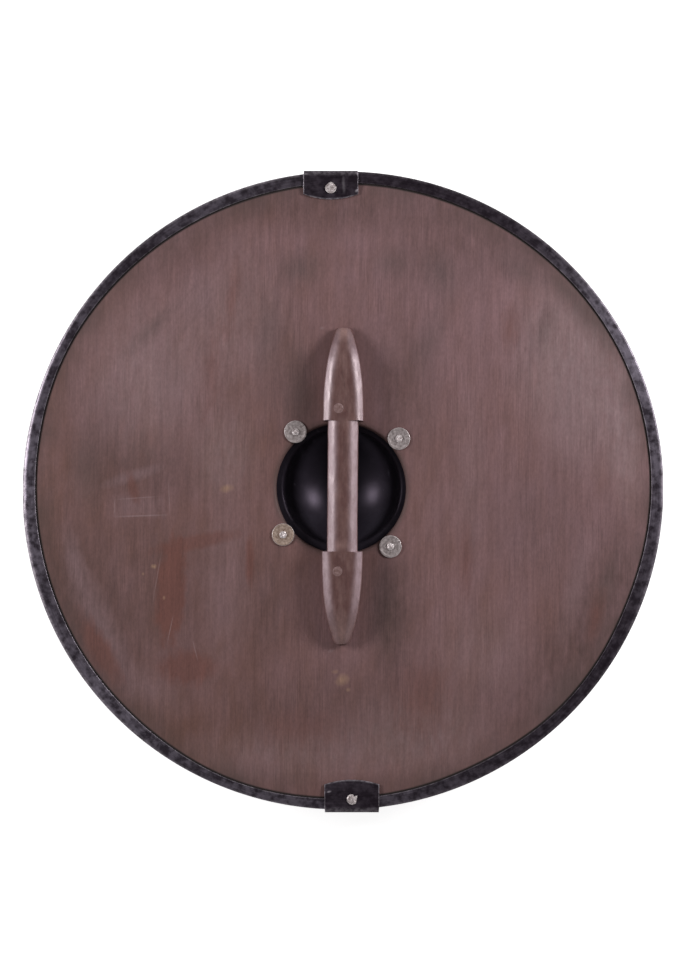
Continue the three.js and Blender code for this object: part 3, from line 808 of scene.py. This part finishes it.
washer = {
    "radius": 13.2,
    "hole": 3.5,
    "edge": 0.5,
    "landWidth": 1.8,        # the flat ring outside the groove
    "grooveWidth": 0.5,
    "grooveDepth": 0.25,
    "segments": 64,
}
rivet = {
    "shank": 3,
    "domeRadius": 7,
    "domeHeight": 3.2,
    "lip": 0.8,
    "clipHeight": 2.4,       # of the hammered head over the clip
    "plugHeight": 0.6,       # and of the end sunk in the grip
    "segments": 40,
}
heads = {
    # squareness is the power of the outline's superellipse: 2 is round and 1.2 a blunt diamond
    "boss_rivet": {"radius": 4.3, "flat": 0.5, "wobble": 1.0, "squareness": 2, "wave": 0.16},
    "clip_rivet_top": {"radius": 6.8, "flat": 0.8, "wobble": 0.4, "squareness": 1.2, "wave": 0.05},
    "clip_rivet_bottom": {"radius": 6.1, "flat": 0.78, "wobble": 0.9, "squareness": 2, "wave": 0.14,
                          "nick": 62, "tab": 34},
    "grip_rivet": {"radius": 5.6, "flat": 0.85, "wobble": 0.3, "squareness": 2, "wave": 0.05},
}


def markMiddle(bm, edgeRadius):
    # each point keeps its distance from the piece's own middle, and how close it is to the worn edge
    fromMiddle = bm.verts.layers.float.new("fromMiddle")
    worn = bm.verts.layers.float.new("worn")
    for v in bm.verts:
        v[fromMiddle] = math.hypot(v.co.x, v.co.y) / mm
        v[worn] = softStep(edgeRadius - 0.55, edgeRadius - 0.1, v[fromMiddle])


def makeWasher(node, material):
    low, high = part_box(node)
    middle = (low + high) / 2
    edge, bottom, top = washer["edge"], low.z / mm, high.z / mm
    outline = [(washer["hole"], bottom), (washer["radius"] - edge * 0.6, bottom)]
    outline += [(washer["radius"], bottom + edge * 0.6)]
    outline += arcPoints(washer["radius"] - edge, top - edge, edge, 0, 90, 3)
    land = washer["radius"] - washer["landWidth"]
    outline += [(land, top), (land - washer["grooveWidth"], top - washer["grooveDepth"])]
    outline += [(washer["radius"] * 0.6, top - 0.15), (washer["hole"] + 0.3, top - 0.1)]
    outline += [(washer["hole"], top - 0.3)]
    bm = spinProfile(outline, washer["segments"])
    markMiddle(bm, washer["radius"])
    bmesh.ops.translate(bm, verts=bm.verts, vec=(middle.x, middle.y, 0))
    addPiece("back_" + node, bm, material, [node], 35)


def makeRivet(node, material, seat):
    # seat is the height of the face that the hammered head lies on
    low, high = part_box(node)
    middle = (low + high) / 2
    kind = next(head for name, head in heads.items() if node.startswith(name))
    bottom, top = low.z / mm, high.z / mm
    frontSeat = bottom + rivet["domeHeight"] + rivet["lip"]
    radius, height = kind["radius"], top - seat
    outline = [(0, bottom)]
    outline += [(rivet["domeRadius"] * math.sin(math.radians(a)),
                 frontSeat - rivet["lip"] - rivet["domeHeight"] * math.cos(math.radians(a)))
                for a in range(15, 91, 15)]
    outline += [(rivet["domeRadius"], frontSeat), (rivet["shank"], frontSeat), (rivet["shank"], seat)]
    outline += [(radius, seat), (radius, seat + height * 0.35), (radius * 0.93, seat + height * 0.7)]
    outline += [(radius * kind["flat"], top), (radius * kind["flat"] * 0.5, top), (0, top)]
    bm = spinProfile(outline, rivet["segments"])
    for v in bm.verts:
        if v.co.z < (seat + 0.01) * mm:
            continue
        angle = math.atan2(v.co.y, v.co.x)
        around = Vector((math.cos(angle), math.sin(angle), middle.x * 90))
        power = kind["squareness"]
        grow = (abs(math.cos(angle)) ** power + abs(math.sin(angle)) ** power) ** (-1 / power)
        grow *= 1 + kind["wave"] * noise.noise(around * 1.7)
        if "nick" in kind:
            turnFrom = math.degrees(angle)
            grow *= 1 - 0.6 * math.exp(-((turnFrom - kind["nick"]) / 11) ** 2)
            grow *= 1 + 0.3 * math.exp(-((turnFrom - kind["tab"]) / 10) ** 2)
        v.co.x *= grow
        v.co.y *= grow
        lift = (noise.noise(Vector((v.co.x, v.co.y, middle.y)) / (1.9 * mm)) - 0.55) * kind["wobble"]
        v.co.z += min(lift, 0) * mm * softStep(seat, top, v.co.z / mm)
    markMiddle(bm, radius)
    bmesh.ops.translate(bm, verts=bm.verts, vec=(middle.x, middle.y, 0))
    piece = addPiece("peened_" + node, bm, material, [node], 35)
    # the head on the front is bare, whatever covers the other end
    piece.data.materials.append(peenedSteel)
    for face in piece.data.polygons:
        if face.center.z < boardLow.z:
            face.material_index = 1


print("rivets")
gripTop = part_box("grip")[1].z / mm
for node in sorted(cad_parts):
    if "washer" in node:
        makeWasher(node, rustySteel if node.endswith("3") else greySteel)
    elif node.startswith("boss_rivet"):
        makeRivet(node, peenedSteel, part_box(node.replace("rivet", "washer"))[1].z / mm)
    elif node.startswith("clip_rivet"):
        makeRivet(node, peenedSteel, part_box(node)[1].z / mm - rivet["clipHeight"])
    elif node.startswith("grip_rivet"):
        makeRivet(node, plugSteel, gripTop - rivet["plugHeight"])


# Clips

clip = {
    "sheet": 1.5,
    "fold": 1.5,
    "bendRadius": 362.5,
    "cornerCut": 0.5,
    "gap": 0.3,              # between the clip and what it lies on
    "cellsAcross": 44,
    "slopeRows": 8,
    "top": {"web": 379.1, "width": 65, "middle": 33.9, "ends": 27.7},
    "bottom": {"web": 381.6, "width": 65, "middle": 38.6, "ends": 33.2},
}


def makeClip(where):
    node = "clip_" + where
    cut = clip[where]
    outer = cut["web"]
    webInner = outer - clip["sheet"]
    centre = (boardFront + boardBack) / 2
    seat = rimTop + clip["gap"] - centre
    legSeat = boardBack + clip["gap"] - centre
    fold = clip["fold"]
    halfWeb = seat - fold
    rows = [(webInner, halfWeb * i / 2) for i in range(3)]
    rows += arcPoints(webInner - fold, seat - fold, fold, 0, 90, 5)[1:]
    foldEnd = webInner - fold
    rows += [(foldEnd + (clip["bendRadius"] - foldEnd) * i / 4, seat) for i in range(1, 5)]
    slopeRows = clip["slopeRows"]
    total = len(rows) - 1 + slopeRows
    bm = bmesh.new()
    bmesh.ops.create_grid(bm, x_segments=clip["cellsAcross"], y_segments=2 * total, size=1)
    worn = bm.verts.layers.float.new("worn")
    for v in bm.verts:
        row = round(abs(v.co.y) * total)
        side = math.copysign(1, v.co.y)
        half = cut["width"] / 2
        depth = cut["ends"] + (cut["middle"] - cut["ends"]) * (1 - v.co.x ** 2)
        if row < len(rows):
            y, z = rows[row]
        else:
            t = (row - len(rows) + 1) / slopeRows
            y = clip["bendRadius"] + (outer - depth - clip["bendRadius"]) * t
            fullSlope = clip["bendRadius"] - (outer - cut["middle"])
            z = seat + (legSeat - seat) * (clip["bendRadius"] - y) / fullSlope
        narrow = clip["cornerCut"] * softStep(foldEnd - 3, webInner, y)
        fromSide = (1 - abs(v.co.x)) * half
        edge = 0.7 * max(1 - softStep(0, 1.3, fromSide), 1 - softStep(0, 1.3, y - (outer - depth)))
        # a pale line along the end of the fold is painted highlight
        foldHighlight = 0.35 * softStep(foldEnd - 1.2, foldEnd + 0.2, y) * (1 - softStep(foldEnd + 0.6, webInner, y))
        v[worn] = max(edge, foldHighlight)
        bend = 0.25 * noise.noise(Vector((v.co.x * 2, y / 12, side * 3 + outer)))
        v.co = Vector((v.co.x * (half - narrow), y, centre + side * (z + max(bend, 0)))) * mm
    bmesh.ops.recalc_face_normals(bm, faces=bm.faces)
    outwards = sum(f.normal.y for f in bm.faces if f.calc_center_median().y > (webInner - 0.2) * mm)
    if outwards < 0:
        bmesh.ops.reverse_faces(bm, faces=bm.faces)
    if where == "bottom":
        bmesh.ops.rotate(bm, verts=bm.verts, cent=(0, 0, 0), matrix=Matrix.Rotation(math.pi, 3, "Z"))
    bmesh.ops.translate(bm, verts=bm.verts, vec=(centreOf(node).x, 0, 0))
    piece = addPiece("saddle_" + node, bm, blackSteel, [node], 50)
    wall = piece.modifiers.new("sheet", "SOLIDIFY")
    wall.thickness = clip["sheet"] * mm
    wall.offset = 1
    wall.use_even_offset = True
    edges = piece.modifiers.new("edges", "BEVEL")
    edges.width = 0.3 * mm
    edges.segments = 2
    edges.limit_method = "ANGLE"
    edges.angle_limit = math.radians(60)
    settle(piece)
    drillHoles(piece, [centreOf("clip_rivet_" + where).xy], rivetHole)


print("clips")
makeClip("top")
makeClip("bottom")


# Grip

grip = {
    "halfLength": 187.8,
    "handHalfLength": 77.2,
    "handHalfWidth": 18.4,
    "handUnderRound": 6,
    "handChamfer": 9.4,
    "shoulderHalf": 24.4,
    "tipHalf": 8.4,
    "tipHeight": 10,
    "fullness": 2.65,
    "chamfer": 7.6,
    "chamferSwell": 1.4,
    "chamferSlope": 36,      # degrees off the flat face
    "slopeStart": 0.62,
    "slopePower": 1.6,
    "tipCorner": 4,
    "tipRound": 1.1,
    "shoulderHook": 0.9,
    "edgeSoft": 2.0,
    "flatSoft": 5.0,
    "underRound": 1.2,
    "leanDegrees": 0.42,
    "plugHole": 5.8,         # the sunk place for the rivet's flat end
    "plugDepth": 0.65,
    "waver": 0.28,
    "facet": 0.12,
    "shoulderGap": 0.5,      # along the grip, where the bar steps out to the blades
    "steps": 60,             # along the bar, and along each blade
}


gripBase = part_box("grip")[0].z / mm
gripThickness = gripTop - gripBase


def roundedHalf(corners, rounds, steps, straights):
    # a path through corners, with each inner corner rounded; straights is the points on each stretch
    path = [Vector(corners[0])]
    for i in range(1, len(corners)):
        before, here = Vector(corners[i - 1]), Vector(corners[i])
        along = (here - before).normalized()
        startCut = rounds[i - 1] if i > 1 else 0
        endCut = rounds[i] if i < len(corners) - 1 else 0
        first, last = before + along * startCut, here - along * endCut
        for k in range(1, straights[i - 1] + 1):
            path.append(first.lerp(last, k / straights[i - 1]))
        if endCut:
            after = (Vector(corners[i + 1]) - here).normalized()
            leave = here + after * endCut
            for k in range(1, steps + 1):
                t = k / steps
                path.append(last * (1 - t) ** 2 + here * 2 * t * (1 - t) + leave * t ** 2)
    return path


def gripSection(along):
    # half outline of the stick at a place along it, from under the middle to the top middle
    g = grip
    away = abs(along)
    height = gripThickness
    if away > g["handHalfLength"]:
        t = (away - g["handHalfLength"]) / (g["halfLength"] - g["handHalfLength"])
        half = g["shoulderHalf"] - (g["shoulderHalf"] - g["tipHalf"]) * t ** g["fullness"]
        fromTip = min((1 - t) * (g["halfLength"] - g["handHalfLength"]), g["tipCorner"])
        half += -g["tipCorner"] + math.sqrt(max(0, g["tipCorner"] ** 2 - (g["tipCorner"] - fromTip) ** 2))
        fall = max(0, (t - g["slopeStart"]) / (1 - g["slopeStart"])) ** g["slopePower"]
        height -= (gripThickness - g["tipHeight"]) * fall
        chamfer = min(g["chamfer"] + g["chamferSwell"] * math.sin(t * math.pi), 0.62 * half)
        under = g["underRound"]
    else:
        half, chamfer, under = g["handHalfWidth"], g["handChamfer"], g["handUnderRound"]
    drop = chamfer * math.tan(math.radians(g["chamferSlope"]))
    # the blunt end is rounded over
    fromEnd = min(g["halfLength"] - away, g["tipRound"])
    pinch = g["tipRound"] - math.sqrt(max(0, g["tipRound"] ** 2 - (g["tipRound"] - fromEnd) ** 2))
    height -= pinch * 0.8
    half -= pinch * 0.6
    flatSoft = min(g["flatSoft"], 0.6 * (half - chamfer), 0.55 * chamfer)
    corners = [(0, 0), (half, 0), (half, height - drop), (half - chamfer, height), (0, height)]
    return roundedHalf(corners, [0, under, g["edgeSoft"], flatSoft, 0], 4, [4, 3, 3, 6])


def makeGrip():
    g = grip
    gap, steps, bar = g["shoulderGap"], g["steps"], g["handHalfLength"]
    blade = g["halfLength"] - bar
    places = [-bar + 2 * bar * i / steps for i in range(steps + 1)]
    places[0] += gap
    places[-1] -= gap
    ends = [bar + gap + (blade - gap) * math.sin(i / steps * math.pi / 2) for i in range(steps + 1)]
    places = [-p for p in reversed(ends)] + places + ends
    first = gripSection(places[0])
    count = 2 * len(first) - 2
    rings = []
    bm = bmesh.new()
    rubbedAndHighlit = bm.verts.layers.float.new("rubbedAndHighlit")
    ring = bmesh.ops.create_circle(bm, segments=count, radius=1)["verts"]
    ringEdges = list(bm.edges)
    order = ring
    for k, along in enumerate(places):
        section = gripSection(along)
        outline = [(p.x, p.y) for p in section] + [(-p.x, p.y) for p in section[-2:0:-1]]
        if k:
            made = bmesh.ops.extrude_edge_only(bm, edges=ringEdges)["geom"]
            ringEdges = [e for e in made if isinstance(e, bmesh.types.BMEdge) and e.is_boundary]
            newVerts = [v for v in made if isinstance(v, bmesh.types.BMVert)]
            near = {v: v.co.copy() for v in newVerts}
            order = [min(near, key=lambda n: (near[n] - old.co).length_squared) for old in order]
        rings.append(order)
        shoulder = abs(abs(along) - bar) <= gap
        for v, (x, z) in zip(order, outline):
            hook = g["shoulderHook"] * softStep(19, 25, abs(x)) if shoulder else 0
            v.co = Vector((x, along - math.copysign(hook, along), gripBase + z)) * mm
    loops = [e for e in bm.edges if e.is_boundary]
    bmesh.ops.holes_fill(bm, edges=loops, sides=0)
    bmesh.ops.recalc_face_normals(bm, faces=bm.faces)
    if bm.calc_volume(signed=True) < 0:
        bmesh.ops.reverse_faces(bm, faces=bm.faces)
    # chamfers are worn pale, partly painted highlight, from the side's top corner to the flat's edge; less at
    # the top tip, and less along the lower blade as painted shade
    for ring, along in zip(rings, places):
        tipWearAndLowerShade = (1 - 0.75 * softStep(152, 186, along)) * (1 - 0.8 * softStep(105, 182, -along))
        for i, v in enumerate(ring):
            i = min(i, count - i)
            v[rubbedAndHighlit] = softStep(12, 15, i) * (1 - softStep(18, 22, i)) * tipWearAndLowerShade
    bm.normal_update()
    for v in bm.verts:
        # knife marks: a slow waver along the stick, and fine facets
        waver = noise.noise(Vector((v.co.x / 14, v.co.y / 26, v.co.z / 14)) / mm)
        facet = noise.noise(Vector((v.co.x / 5, v.co.y / 11, v.co.z / 5)) / mm)
        depth = g["waver"] * (waver - 1) + g["facet"] * (facet - 1)
        v.co += v.normal * min(depth, 0) * mm * softStep(gripBase, gripBase + 3, v.co.z / mm)
    lean = Matrix.Rotation(math.radians(-g["leanDegrees"]), 3, "Z")
    bmesh.ops.rotate(bm, verts=bm.verts, cent=(0, 0, 0), matrix=lean)
    bmesh.ops.translate(bm, verts=bm.verts, vec=(centreOf("grip").x, centreOf("grip").y, 0))
    piece = addPiece("carved_grip", bm, woodOfGrip, ["grip"], 32)
    places = [centreOf(n).xy for n in rivetNodes if n.startswith("grip")]
    drillHoles(piece, places, rivetHole)
    drillHoles(piece, places, g["plugHole"], gripTop - g["plugDepth"])


print("grip")
makeGrip()


# Floor and light

def makeFloor():
    bm = bmesh.new()
    bmesh.ops.create_grid(bm, x_segments=1, y_segments=1, size=14)
    mesh = bpy.data.meshes.new("floor")
    bm.to_mesh(mesh)
    bm.free()
    floor = bpy.data.objects.new("floor", mesh)
    scene.collection.objects.link(floor)
    material, tree, shader = newMaterial("white studio floor")
    wire(tree, shader, {"Base Color": "#BCBCBC", "Roughness": 0.9, "Emission Color": "#FFFFFF",
                        "Emission Strength": 0.85})
    mesh.materials.append(material)


def addLight(name):
    setup = lights[name]
    lamp = bpy.data.lights.new(name, "AREA")
    lamp.shape = "RECTANGLE"
    lamp.size = lights["width"] * mm
    lamp.size_y = lights["height"] * mm
    lamp.energy = setup["power"]
    light = bpy.data.objects.new("light_" + name, lamp)
    scene.collection.objects.link(light)
    # the lamp's X axis runs up the sky, and its long Y side lies level, along the shield's grip
    off, azimuth = math.radians(setup["offVertical"]), math.radians(setup["azimuth"])
    back = Vector((math.sin(off) * math.cos(azimuth), math.sin(off) * math.sin(azimuth), math.cos(off)))
    side = Vector((0, 0, 1)).cross(back).normalized()
    up = side.cross(back)
    light.matrix_world = Matrix((up, side, back)).transposed().to_4x4()
    light.location = Vector((hub.x, hub.y, boardHigh.z)) + back * lights["away"] * mm


print("floor and light")
makeFloor()
addLight("right")
addLight("left")
world = bpy.data.worlds.new("soft white room")
scene.world = world
world.use_nodes = True
towards = addNode(world.node_tree, "TexCoord", {}, "Generated")
upwards = addNode(world.node_tree, "SeparateXYZ", {0: towards}, "Z")
strength = addNode(world.node_tree, "MapRange", {0: upwards, 3: lights["skyAround"], 4: lights["skyAbove"]})
sky = world.node_tree.nodes["Background"]
wire(world.node_tree, sky, {"Color": lights["skyColour"], "Strength": strength})
scene.view_settings.view_transform = "Standard"
